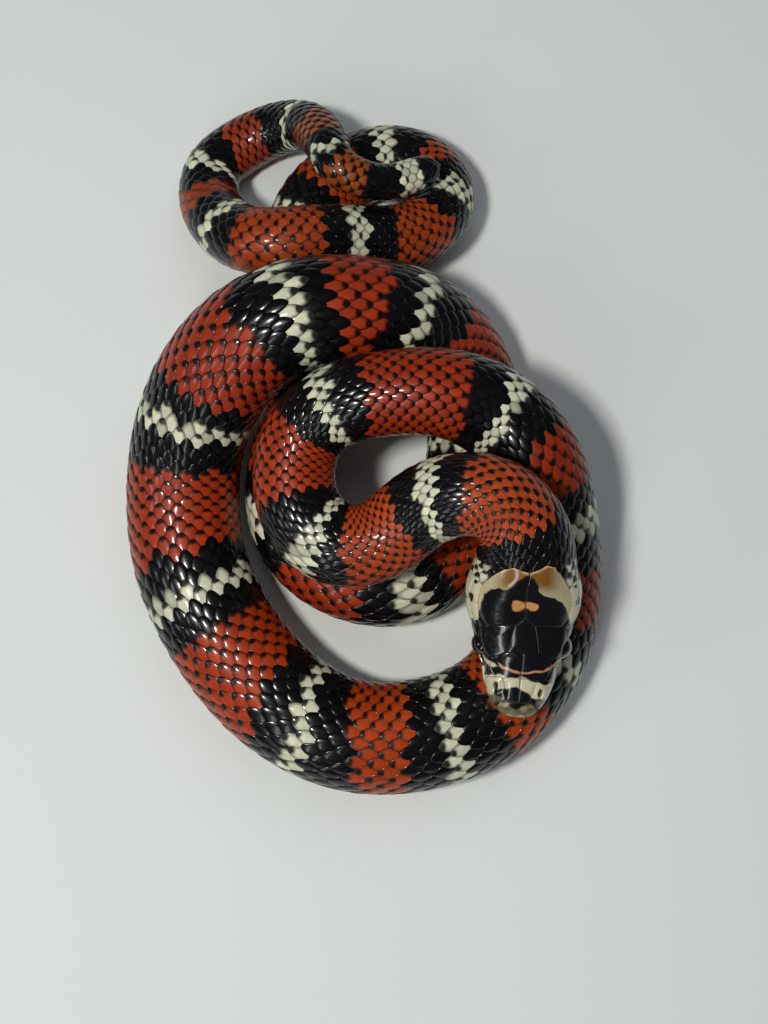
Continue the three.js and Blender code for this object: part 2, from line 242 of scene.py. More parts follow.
def places(rows):
    """Places on the head as distance back and turn. The second number of a row is a turn in degrees or, under 5, an
    offset in mm over the crown: offset = half width * sine of the turn ^ squareness, solved for the turn."""
    found = []
    for d, aside in rows:
        if abs(aside) < 5:
            part = np.clip(abs(aside) / girth(np.float64(d))[0], 0, 1) ** (1 / squareness(d))
            aside = float(np.sign(aside) * np.degrees(np.arcsin(part)))
        found.append((d, aside))
    return found


def mean_radius(d):
    """The mean of the head's half width and half height."""
    half, crown, jaw = girth(d)
    return (half + (crown + jaw) / 2) / 2


def chart(d, turn):
    """The head's surface laid flat, in mm: the distance back, and the turn times the mean radius there."""
    return d, np.radians(turn) * mean_radius(d)


def signed_distance(x, y, corners):
    """How far outside a closed outline each point is; below zero inside. Nearest edge, with an even-odd count."""
    inside = np.zeros(np.shape(x), bool)
    near = np.full(np.shape(x), 1e9)
    for (ax, ay), (bx, by) in zip(corners, corners[1:] + corners[:1]):
        t = np.clip(((x - ax) * (bx - ax) + (y - ay) * (by - ay)) / ((bx - ax) ** 2 + (by - ay) ** 2 + 1e-12), 0, 1)
        near = np.minimum(near, np.hypot(x - ax - t * (bx - ax), y - ay - t * (by - ay)))
        inside ^= ((ay > y) != (by > y)) & (x < (bx - ax) * (y - ay) / (by - ay + 1e-12) + ax)
    return np.where(inside, -near, near)


def flat(corners):
    """Corners given as distance and turn, laid on the chart."""
    return [tuple(float(v) for v in chart(np.float64(d), np.float64(t))) for d, t in corners]


def wave(x, y, z):
    """A cheap smooth wobble from -1 to 1: three crossed sines."""
    return (np.sin(x * 1.7 + 2.1 * np.sin(y * 1.3 + z)) + np.sin(y * 2.3 + 1.7 * np.sin(z * 1.9 + x))
            + np.sin(z * 2.9 + 1.3 * np.sin(x * 2.1 + y))) / 3


# Rings of the body in mm of spine: black from, cream from, cream to, black to, and how far the ring leans.
RINGS = [
    (22.5, 24.2, 25.8, 28.4, -0.5), (34.9, 36.6, 38.3, 41, 0.3), (47.4, 50, 51.4, 53.8, -0.3),
    (61.8, 65, 66.6, 69.3, 0.5), (73.4, 75.6, 77.8, 81.1, 0), (86.6, 89.2, 90.8, 93.4, 0),
    (96.4, 99.5, 100.9, 104, -0.3), (109.4, 112.8, 114.1, 117.2, 1.2), (124.3, 127.4, 128.8, 131.5, 0.1),
    (140.4, 144.1, 145.6, 148, 0.4), (155.3, 157.8, 159.2, 161.5, 0.3), (165.4, 167.6, 169.2, 172.7, -0.9),
    (181.2, 184.6, 186.2, 189, 0), (196.4, 197.8, 200, 202.7, 0), (208.5, 210.8, 213, 215.4, 0),
    (221.6, 224, 225.5, 228.5, 0), (236.4, 239.4, 240.6, 242.8, 0), (247.6, 249.4, 250.9, 253.8, 0),
    (256, 257.7, 259.2, 261.2, 0), (265.8, 268.9, 270.8, 273, 0), (279.6, 281.6, 283.2, 285.3, 0),
    (287.6, 289.9, 291.2, 293.9, -0.8), (298.1, 301.4, 302.6, 304.9, 0), (308, 309.5, 310.2, 311.2, 0),
    (313.6, 316.9, 319, 400, 0),
]
# Where the nape's cream, from this turn down, and its black end, and where the tail folds.
NAPE_CREAM_END, NAPE_CREAM_TURN, NAPE_BLACK_END, TAIL_FOLD = 14.6, 50, 17.3, 306
RED, BLACK, CREAM = 0, 1, 2


def marking(s, turn):
    """Which colour a place on the body has: 0 red, 1 black, 2 cream. A ring's edges lean with the sine of the turn,
    and its cream is at least 1.06 scales wide, or 0.84 where the tail folds."""
    kind = np.zeros(np.shape(s), int)
    lean_by = np.sin(np.radians(turn))
    least = pitch(s) * np.where(s < TAIL_FOLD, 0.53, 0.42)
    for black_from, cream_from, cream_to, black_to, lean in RINGS:
        x = s - lean * lean_by
        kind = np.where((x > black_from) & (x < black_to), BLACK, kind)
        reach = np.maximum((cream_to - cream_from) / 2, least)
        kind = np.where(np.abs(x - (cream_from + cream_to) / 2) < reach, CREAM, kind)
    kind = np.where(s < NAPE_BLACK_END, BLACK, kind)
    return np.where((s < NAPE_CREAM_END) & (np.abs(turn) > NAPE_CREAM_TURN), CREAM, kind)


# The red's tone by distance along the body.
RED_TONES = [
    (0, "#a84016"), (26, "#a43e14"), (42, "#962f0a"), (52, "#8c2806"), (64, "#922e0a"), (75, "#7e2406"),
    (95, "#a23a08"), (120, "#9a3008"), (150, "#902c10"), (180, "#963010"), (205, "#962c08"), (240, "#943408"),
    (275, "#963810"), (300, "#842c10"), (306, "#8a400c")
]


def red_tone(s):
    """The red there, by linear interpolation between the tones."""
    tones = np.array([linear(code) for _, code in RED_TONES])
    return np.stack([np.interp(s, [at for at, _ in RED_TONES], tones[:, k]) for k in range(3)], -1)


def scale_tints(s, step, turn, rng):
    """Each scale's own colour, its tip's colour and the size of its dark tip. A scale has the colour at the middle
    of the part that shows, times a shade that varies by 8%. The dark tip is bigger on the neck, before a black
    ring, on most cream scales behind one, and on the cream of the temples. The flank is browner."""
    def vary(amount):
        """A normal draw for each scale."""
        return rng.normal(0, amount, s.shape)
    at = s + vary(0.09)
    # The marking at the middle of the part that shows, just before the scale and at its tip, in steps.
    kind, before, after = [marking(at + k * step, turn) for k in (0.16, -0.36, 0.56)]
    flank = smooth(70, 115, np.abs(turn))[:, None]
    shade = (1 + vary(0.08))[:, None]
    red = red_tone(s) * shade * (1 - 0.25 * flank) + linear("#803c2a") * 0.25 * flank
    black = linear("#0a0a0c") * (1 + vary(0.25).clip(-0.5, 0.6))[:, None]
    cream = linear("#c6c6ac") * (1 - 0.3 * smooth(0.75, 1.0, rng.random(s.shape)))[:, None] * shade
    each, ones = np.arange(len(s)), np.ones_like(red)
    tint = np.stack([red, black, cream])[kind, each]
    tip = np.stack([linear("#120807") * ones, black * 0.7, linear("#23241e") * ones])[kind, each]
    red_spot = 0.37 + 0.12 * (1 - smooth(24, 42, s)) + 0.06 * smooth(300, 308, s)
    spot = np.select([kind == RED, kind == BLACK], [red_spot, 0.25], -0.1) + vary(0.03)
    spot = np.where((kind == RED) & (after == BLACK), 0.52, spot)
    short = (kind == CREAM) & (marking(at + 0.5 * step, turn) == BLACK)
    specked = (kind == CREAM) & ((before == BLACK) & (rng.random(s.shape) < 0.9) | (rng.random(s.shape) < 0.3))
    spot = np.where(specked, 0.42 + vary(0.05), spot)
    temple = (kind == CREAM) & (s < HEAD_CHART) & (np.abs(turn) < 120) & (rng.random(s.shape) < 0.75)
    spot = np.where(temple, 0.66, np.where(short, 0.50, spot))
    return tint, tip, np.clip(spot * (1 - 0.3 * flank[:, 0]), 0.03, 0.9)


# The skin's red, black and cream between the scales, and the belly plates' own.
SKIN_TONES = np.array([linear(code) for code in ("#4a1c10", "#0a0a0c", "#77745c")])
BELLY_TONES = np.array([linear(code) for code in ("#b8664e", "#1b1b20", "#cfc9ae")])


# Marks on the head, as rows for places.
CAP = places([
    (3.85, 0), (4, 0.6), (4.1, 1.2), (4.2, 1.8), (4.5, 2.35), (5.25, 3), (5.6, 66), (5.2, 95), (8.2, 97),
    (8.7, 70), (8.7, 3.85), (9.9, 3.55), (11, 3.1), (11.75, 2.3), (12, 1.4), (12.35, 1.1), (13.1, 0.85),
    (13.7, 0.5), (14.05, 0.1), (14.05, -0.2), (13.8, -0.65), (13.35, -1.1), (12.75, -1.35), (12.4, -1.6),
    (12.5, -2.3), (12.15, -2.95), (11.5, -3.45), (10.6, -3.7), (8.7, -3.85), (8.7, -70), (8.2, -97), (5.2, -95),
    (5.7, -66), (5.55, -3.05), (4.85, -2.5), (4.5, -1.7), (4.15, -1), (3.98, -0.5)
])
BOW = places([
    (11.4, -0.8), (11.35, -0.45), (11.12, -0.18), (11.08, 0.05), (11.15, 0.3), (11.15, 0.76), (11, 1),
    (10.55, 1.02), (10.25, 0.78), (10.25, 0.36), (10.4, 0.1), (10.4, -0.14), (10.2, -0.36), (10.1, -0.8),
    (10.2, -1.12), (10.8, -1.18), (11.25, -1.1)
])
MASK = places([
    (3.3, -2.95), (3.43, -2.4), (3.5, -1.67), (3.26, -1), (3.34, -0.33), (3.46, 0), (3.26, 0.5), (3.1, 1),
    (3, 1.67), (2.9, 2.3), (3.2, 2.75), (3.3, 84), (5.3, 86), (5.4, 3), (4.5, 2.1), (4.1, 0.8), (4, 0),
    (4.4, -1.2), (4.8, -2.2), (5.6, -3), (5.3, -86), (3.3, -84)
])
FRONT_BLACK = places([
    (2.16, -2.05), (2.27, -1.4), (2.3, -0.83), (2.42, -0.5), (2.6, -0.25), (2.5, 0), (2.25, 0.35), (2, 0.83),
    (1.7, 1.25), (1.55, 1.6), (0.95, 1.6), (1.2, 1), (0.9, 0.5), (0.6, 0.05), (0.66, -0.65), (1.1, -0.85),
    (1.5, -1.4), (1.6, -2.05)
])
LORE_CREAM = places([
    (5.5, -3.25), (4.95, -2.95), (4.55, -2.25), (4.32, -1.95), (4.15, -2.25), (4.25, -2.75), (4.7, -3.2)
])

# Pale clouds on the snout as distance back, offset, radius and colour.
SNOUT_CLOUDS = [(0.95, -1.5, 0.24, "#a39d72"), (0.85, -0.95, 0.22, "#a8937c"), (0.7, 0.55, 0.32, "#8e885f"),
                (1.0, 1.25, 0.2, "#8a8462"), (0.4, -0.4, 0.2, "#7a7454")]
# Blots on the temples as distance back, turn and radius.
TEMPLE_BLOTS = [(9.3, 68, 0.2), (9.3, 88, 0.26), (10.75, 67, 0.42), (12.3, 62, 0.26), (11.2, 91, 0.34),
                (13.1, 58, 0.4)]


def head_tint(d, turn):
    """The head's markings, laid over one another as outlines on its flat chart. Their edges wobble by up to 0.09 mm
    and are softened over 0.1 mm: k is a smooth step across the edge, and the colour is under * (1 - k) + mark * k."""
    x, y = chart(d, turn)
    t = np.abs(turn)
    out = section(d, turn)[0]
    aside = np.abs(out)
    wob = 0.09 * wave(d * 3.1, y * 3.3, 0.7)
    cream, black = "#cdc6a6", "#08090b"
    tint = np.ones(d.shape + (3,)) * linear(cream)

    def lay(distance, code, soft=0.05):
        """Lays a colour where the distance from its outline is below zero."""
        nonlocal tint
        k = 1 - smooth(-soft, soft, distance + wob)[..., None]
        tint = tint * (1 - k) + linear(code) * k

    def outline(corners):
        """How far outside such an outline each place is."""
        return signed_distance(x, y, flat(corners))

    # The snout: olive with pale clouds, a black patch and two dots.
    lay(d - 1.7, "#5f5a3e")
    for at, side, radius, code in SNOUT_CLOUDS:
        lay(np.hypot((d - at) * 1.3, out - side) - radius, code, 0.16)
    lay(d - 0.14, "#a89e84")
    lay(outline(FRONT_BLACK), black)
    lay(np.hypot(d - 0.95, aside - 1.75) - 0.24, black)
    # The mask before the eyes, with cream between, and the peach line along the cap's front.
    lay(outline(MASK), black)
    lay(signed_distance(np.where(y > 0, 99, x), y, flat(LORE_CREAM)), cream)
    lay(np.hypot((d - 3.95) / 1.6, (t - 78) / 22) - 0.17, cream)
    cap = outline(CAP)
    line = np.where((aside < 3.1) & (d < 6), cap - 0.17 - 0.1 * bump_at(out + 1.5, 0, 0.45, 1), 1.0)
    lay(line + 0.6 * smooth(1.8, 2.2, -out), "#c8946a")
    # The rear of the crown: grey cream passing to amber, with a pale rim. Behind it the cream comes back.
    behind = (d > 8.2) & (t < 75)
    pale = (smooth(12.0, 13.5, d + 0.3 * aside - 0.3) * (1 - smooth(1.5, 3.1, aside)))[..., None]
    amber = linear("#b9ae8c") * (1 - pale) + linear("#82561c") * pale
    tint = np.where(behind[..., None], amber, tint)
    rear = outline(PARIETALS)
    lay(np.where(behind & (d > 8.8), -rear - 0.16, 1.0), "#cdb084")
    tint = np.where((behind & (rear > 0.03))[..., None], linear(cream), tint)
    lay(cap, black)
    lay(outline(BOW), "#cf9256")
    # Dark bars between the lip shields, and blots on the temples.
    bars = np.min([np.abs(d - b) for b in LABIAL_CUTS[1:-1]], axis=0)
    lay(np.where((t > 84) & (t < 133), bars - 0.20, 1.0), "#15151a")
    blots = np.min([np.hypot(d - a, (t - b) / 15) - r for a, b, r in TEMPLE_BLOTS], axis=0)
    lay(np.where(d > 8.2, blots, 1.0), "#121214")
    chin = smooth(128, 145, t)[..., None]
    return tint * (1 - chin) + linear("#cfcbb6") * chin


# Where the lip shields of one side are cut apart, above and below the mouth.
LABIAL_CUTS = [0.6, 2.3, 4.3, 6.2, 7.7, 9.1, 10.4, 11.5]
LOWER_CUTS = [0.75, 1.7, 2.9, 4.2, 5.6, 7.1, 8.6, 10.0, 11.3]


def on_rim(angle):
    """A place on the eye's rim, as distance back and turn: an oval round the eye's middle."""
    a = np.radians(angle)
    return (EYE["back"] + EYE["rim"] * np.cos(a), EYE["turn"] + 19.5 * np.sin(a))


# Head shields, as rows for places. The left one of the two at the rear of the crown, and both as one outline:
PARIETAL = places([
    (9.25, 0), (8.55, 0.8), (8.35, 3.1), (9, 3.75), (10.6, 3.95), (12.2, 3.7), (13.3, 3.1), (14.4, 2.3),
    (14.75, 1.45), (14.5, 0.7), (14.25, 0)
])
PARIETALS = PARIETAL + [(d, -turn) for d, turn in PARIETAL[-2:0:-1]]
FRONTAL = places([
    (5.8, -1.3), (5.68, 0), (5.8, 1.3), (7.6, 1.05), (8.55, 0.8), (9.25, 0), (8.55, -0.8), (7.6, -1.05)
])
# The shields of the left side; NASAL is the one with the nostril.
NASAL = 4
SIDE_SHIELDS = [places(rows) for rows in [
    [(1.15, 0), (3.3, 0), (3.2, 1.5), (2.4, 1.25), (1.3, 0.95)],
    [(3.3, 0), (5.72, 0), (5.8, 1.3), (5.25, 2.3), (4.35, 2.7), (3.25, 2.1), (3.2, 1.5)],
    [(5.8, 1.3), (7.6, 1.05), (8.5, 0.85), (8.35, 44), (7.9, 57), on_rim(-42), on_rim(-90), on_rim(-138),
     (5.25, 2.35)],
    PARIETAL[1::-1] + PARIETAL[:1:-1],
    [(1.3, 0.95), (2.4, 1.25), (3.2, 1.5), (3.25, 2.1), (3.2, 62), (3.1, 84), (2.3, 86), (0.75, 88), (0.9, 60)],
    [(3.25, 2.1), (4.35, 2.7), (4.45, 82), (4.3, 85), (3.1, 84), (3.2, 62)],
    [(4.35, 2.7), (5.25, 2.3), on_rim(-138), on_rim(-160), on_rim(-180), on_rim(160), (4.9, 87), (4.45, 84)],
    [on_rim(-42), (7.9, 57), (8.3, 77), on_rim(-4), on_rim(-20)],
    [on_rim(-4), (8.3, 77), (7.95, 97), on_rim(40), on_rim(18)],
    [(7.9, 57), (8.35, 46), (9, 3.75), (10.3, 3.94), (10.4, 74), (8.3, 76)],
    [(8.3, 77), (10.4, 75), (10.4, 96), (9.1, 97), (7.95, 97)],
    [(10.3, 3.94), (10.6, 3.95), (12.2, 3.7), (12.6, 68), (10.4, 70)],
    [(10.4, 71), (12.6, 69), (12.6, 82), (10.4, 83)],
    [(10.4, 83), (12.5, 81), (12.3, 98), (11.5, 99), (10.4, 97)],
    [(1.9, 143), (4.9, 141), (5.1, 179), (1.3, 179)],
    [(4.95, 142), (7.4, 147), (7.6, 168), (5.15, 175)],
]]
UPPER_LIP_TOPS = [
    [(0.6, 89), (2.3, 87)], [(2.3, 87), (3.1, 85), (4.3, 86)],
    [(4.3, 86), (4.9, 88), on_rim(150), on_rim(125), on_rim(96)], [on_rim(94), on_rim(65), on_rim(42), (7.7, 97)],
    [(7.7, 98), (9.1, 98)], [(9.1, 98), (10.4, 98)], [(10.4, 98), (11.5, 100)]
]
for top, a, b in zip(UPPER_LIP_TOPS, LABIAL_CUTS, LABIAL_CUTS[1:]):
    SIDE_SHIELDS.append(top + [(b, MOUTH_TURN - 1.0), (a, MOUTH_TURN - 1.0)])
for a, b in zip(LOWER_CUTS, LOWER_CUTS[1:]):
    SIDE_SHIELDS.append([(a, MOUTH_TURN + 1.5), (b, MOUTH_TURN + 1.5), (b, 138), (a, 138)])


def corners_of(faces):
    """The point at each corner of all the faces, in their order."""
    return np.concatenate([f.ravel() for f in faces])


def put_mesh(name, points, faces, material, bake_uv=None, smooth_faces=True, **attributes):
    """A mesh in metres from points in mm and a list of arrays of faces. An attribute has a row for each point: a
    colour if its name ends in tint, or else a vector or a number."""
    loops = corners_of(faces).astype(np.int32)
    sizes = np.concatenate([np.full(len(f), f.shape[1]) for f in faces]).astype(np.int32)
    mesh = bpy.data.meshes.new(name)
    mesh.vertices.add(len(points))
    mesh.vertices.foreach_set("co", (points * MM).astype(np.float32).ravel())
    mesh.loops.add(len(loops))
    mesh.loops.foreach_set("vertex_index", loops)
    mesh.polygons.add(len(sizes))
    mesh.polygons.foreach_set("loop_start", np.concatenate([[0], np.cumsum(sizes)[:-1]]).astype(np.int32))
    mesh.polygons.foreach_set("use_smooth", np.full(len(sizes), smooth_faces))
    mesh.update(calc_edges=True)
    mesh.validate()
    for label, values in attributes.items():
        kind, field = ("FLOAT", "value") if values.ndim == 1 else ("FLOAT_VECTOR", "vector")
        if label.endswith("tint"):
            kind, field = "FLOAT_COLOR", "color"
            values = np.column_stack([values, np.ones(len(values))])
        mesh.attributes.new(label, kind, "POINT").data.foreach_set(field, values.astype(np.float32).ravel())
    if bake_uv is not None:
        mesh.uv_layers.new(name="OFBake").data.foreach_set("uv", bake_uv.astype(np.float32).ravel())
    piece = bpy.data.objects.new(name, mesh)
    bpy.context.scene.collection.objects.link(piece)
    mesh.materials.append(material)
    return piece


def band_faces(rows, n):
    """Quads between rings of n points, and the points round one ring with the ones after them."""
    i, j = np.meshgrid(np.arange(rows - 1), np.arange(n), indexing="ij")
    after = (j + 1) % n
    quads = np.stack([i * n + j, (i + 1) * n + j, (i + 1) * n + after, i * n + after], -1).reshape(-1, 4)
    return quads, j[0], after[0]


def tube(rows, n):
    """Faces of a closed tube: quads between its rings and a fan at each end, whose middle points come after them."""
    quads, k, k2 = band_faces(rows, n)
    last = (rows - 1) * n
    front = np.stack([np.full(n, rows * n), k, k2], -1)
    return [quads, front, np.stack([np.full(n, rows * n + 1), last + k2, last + k], -1)]


def plate(rows, n):
    """Faces of a closed plate: a fan round its first point, quads between its rings and one face underneath."""
    quads, k, k2 = band_faces(rows, n)
    return [np.stack([0 * k, 1 + k, 1 + k2], -1), 1 + quads, (1 + (rows - 1) * n + k)[::-1][None, :]]


def copies(faces, count, per):
    """The faces of count like pieces, whose points come per to a piece."""
    start = (np.arange(count) * per)[:, None, None]
    return [(start + f[None]).reshape(-1, f.shape[1]) for f in faces]


def wire(node, *first, **given):
    """Gives a node values for its first sockets, its settings, named in small letters, and its other sockets, named
    in capitals or by i and a number. A socket takes a value, another socket, or a node's first output."""
    for key, value in [*enumerate(first), *given.items()]:
        if isinstance(key, str) and hasattr(node, key):
            setattr(node, key, value)
            continue
        if isinstance(key, str):
            key = int(key[1:]) if key[1:].isdigit() else key.replace("_", " ")
        if isinstance(value, bpy.types.Node):
            value = value.outputs[0]
        if isinstance(value, bpy.types.NodeSocket):
            node.id_data.links.new(value, node.inputs[key])
        else:
            node.inputs[key].default_value = value


def add_to(tree, kind, *first, **given):
    """One new node with its settings and links."""
    node = tree.nodes.new("ShaderNode" + kind)
    wire(node, *first, **given)
    return node


def colour(code):
    """An sRGB hex colour as linear red, green, blue and full cover."""
    return (*[float(v) for v in linear(code)], 1.0)


def new_material(name):
    """An empty node material, its finished surface shader, and the function that adds a node to it."""
    material = bpy.data.materials.new(name)
    material.use_nodes = True
    material.node_tree.nodes.clear()
    add = partial(add_to, material.node_tree)
    shader = add("BsdfPrincipled")
    add("OutputMaterial", Surface=shader)
    return material, shader, add


# In the materials below, the numbers of a MapRange are: from low, from high, to low, to high.
def keratin_scale():
    """Smooth keratin of the body scales, grown in overlapping plates: glossy, with a dark pigment spot at each
    tip, painted shade along the rim where it laps the next scale and a lighter middle, mottled finely. The spot's
    edge is where the distance from (0.82, 0) on the scale, over the spot's size, passes 1; the painted rim shade
    deepens with the ring's radius."""
    material, shader, add = new_material("Smooth keratin scales")
    tint, tip, spot, lie = [add("Attribute", attribute_name=label) for label in ("tint", "tip_tint", "spot", "lie")]
    place = add("TexCoord").outputs["Object"]
    # Mottle about 0.4 mm across, and grain of 0.1 mm, coarser than life so that it shows.
    mottle = add("TexNoise", Vector=place, Scale=2500, Detail=3)
    grain = add("TexNoise", Vector=place, Scale=9000, Detail=2)
    offset = add("VectorMath", lie.outputs["Vector"], (0.82, 0, 0), operation="SUBTRACT")
    shape = add("VectorMath", offset, (1, 0.62, 0), operation="MULTIPLY")
    away = add("VectorMath", shape, operation="LENGTH")
    ragged = add("Math", mottle, 0.16, -0.08, operation="MULTIPLY_ADD")
    reach = add("Math", away.outputs["Value"], ragged, operation="ADD")
    least = add("Math", reach, 0.06, operation="MAXIMUM")
    part = add("Math", least, spot.outputs["Fac"], operation="DIVIDE")
    dark = add("MapRange", part, 0.65, 1.3, 1, 0, interpolation_type="SMOOTHSTEP")
    edge = add("SeparateXYZ", Vector=lie.outputs["Vector"])
    # Painted shade: the colour falls to 0.34 of itself at the scale's rim, where it laps the next scale, and is 1.2
    # in the middle.
    pale = add("MapRange", edge.outputs["Z"], 0.45, 1, 1.2, 0.34, interpolation_type="SMOOTHSTEP")
    bright = add("Math", mottle, 0.5, 0.75, operation="MULTIPLY_ADD")
    light = add("Math", bright, pale, operation="MULTIPLY")
    body = add("VectorMath", tint, operation="SCALE", Scale=light)
    mixed = add("Mix", data_type="RGBA", Factor=dark, i6=body, i7=tip)
    parts = add("SeparateColor", Color=tint)
    gloss = add("MapRange", parts, 0.01, 0.2, 0.26, 0.42)
    worn = add("Math", mottle, 0.12, -0.06, operation="MULTIPLY_ADD")
    rough = add("Math", gloss, worn, operation="ADD")
    relief = add("Bump", Height=grain, Strength=0.25, Distance=0.00002)
    wire(shader, Base_Color=mixed.outputs[2], Roughness=rough, Normal=relief)
    shader.inputs["IOR"].default_value = 1.54
    shader.inputs["Specular IOR Level"].default_value = 0.2
    shader.inputs["Coat Weight"].default_value = 0.35
    shader.inputs["Coat Roughness"].default_value = 0.09
    return material


def shield_keratin():
    """Polished keratin of the head shields: large smooth plates with a wet-looking gloss and faint mottling."""
    material, shader, add = new_material("Polished keratin shields")
    tint = add("Attribute", attribute_name="tint")
    place = add("TexCoord").outputs["Object"]
    mottle = add("TexNoise", Vector=place, Scale=3500, Detail=3)
    grain = add("TexNoise", Vector=place, Scale=1400, Detail=3)
    bright = add("Math", mottle, 0.5, 0.75, operation="MULTIPLY_ADD")
    body = add("VectorMath", tint, operation="SCALE", Scale=bright)
    gloss = add("MapRange", mottle, 0.3, 0.7, 0.12, 0.24)
    relief = add("Bump", Height=grain, Strength=0.35, Distance=0.00005)
    wire(shader, Base_Color=body, Roughness=gloss, Normal=relief)
    shader.inputs["IOR"].default_value = 1.54
    shader.inputs["Coat Weight"].default_value = 0.6
    shader.inputs["Coat Roughness"].default_value = 0.06
    return material


def soft_skin():
    """Thin stretchy skin between the scales: matt and darker than the scales, finely creased. The bare shield at the
    snout's tip is polished."""
    material, shader, add = new_material("Thin skin between scales")
    tint = add("Attribute", attribute_name="tint")
    place = add("TexCoord").outputs["Object"]
    crease = add("TexNoise", Vector=place, Scale=5000, Detail=4)
    bright = add("Math", crease, 0.6, 0.7, operation="MULTIPLY_ADD")
    body = add("VectorMath", tint, operation="SCALE", Scale=bright)
    relief = add("Bump", Height=crease, Strength=0.4, Distance=0.00006)
    polish = add("Attribute", attribute_name="polish")
    gloss = add("MapRange", polish.outputs["Fac"], 0, 1, 0.55, 0.2)
    wire(shader, Base_Color=body, Normal=relief, Roughness=gloss)
    return material


def wet_eye():
    """The eye under its clear spectacle: a round black pupil in a dark red-brown iris, mirror smooth."""
    material, shader, add = new_material("Dark eye under a clear spectacle")
    ring = add("Attribute", attribute_name="from_pupil")
    place = add("TexCoord").outputs["Object"]
    fleck = add("TexNoise", Vector=place, Scale=6000, Detail=3)
    ragged = add("Math", fleck, 6, ring.outputs["Fac"], operation="MULTIPLY_ADD")
    ramp = add("MapRange", ragged, 0, 90)
    band = add("ValToRGB", Fac=ramp)
    stops = [(0, "#040304"), (0.33, "#050405"), (0.36, "#33201a"), (0.42, "#1c0f0c"), (0.6, "#100a09"),
             (0.8, "#080606")]
    while len(band.color_ramp.elements) < len(stops):
        band.color_ramp.elements.new(0.5)
    for element, (at, code) in zip(band.color_ramp.elements, stops):
        element.position, element.color = at, colour(code)
    wire(shader, Base_Color=band)
    shader.inputs["Roughness"].default_value = 0.06
    shader.inputs["IOR"].default_value = 1.4
    shader.inputs["Coat Weight"].default_value = 1
    shader.inputs["Coat Roughness"].default_value = 0.02
    return material


def pale_floor():
    """A plain pale matt floor with the faintest tooth."""
    material, shader, add = new_material("Pale matt floor")
    place = add("TexCoord").outputs["Object"]
    tooth = add("TexNoise", Vector=place, Scale=900, Detail=4)
    relief = add("Bump", Height=tooth, Strength=0.15, Distance=0.0001)
    wire(shader, Normal=relief)
    shader.inputs["Base Color"].default_value = colour("#e6ebe8")
    shader.inputs["Roughness"].default_value = 0.75
    return material


# Where each strip of the body lies on the flat unwrap: strips of equal length, one above another.
STRIPS = 6
STRIP_LENGTH = LENGTH / STRIPS + 1e-6


def strip_of(s):
    """The strip that a distance falls in."""
    return np.minimum((s // STRIP_LENGTH).astype(int), STRIPS - 1)


def unwrap(s, turn, strip):
    """The skin laid flat in strips: u along the strip, v round the body within the strip's share."""
    u = 0.01 + 0.98 * (s - strip * STRIP_LENGTH) / STRIP_LENGTH
    v = (strip + 0.02 + 0.96 * (turn + 180) / 360) / STRIPS
    return np.stack(np.broadcast_arrays(u, v), -1)


def nostril(side):
    """The middle of a nostril on the chart."""
    back, turn = NOSTRILS[side]
    return flat([(back, side * turn)])[0]


def from_nostril(x, y, side):
    """How far a place on the chart is from a nostril's middle, in mm, drawn in lengthways to an oval."""
    mx, my = nostril(side)
    return np.hypot((x - mx) * 0.72, (y - my) * 1.15)


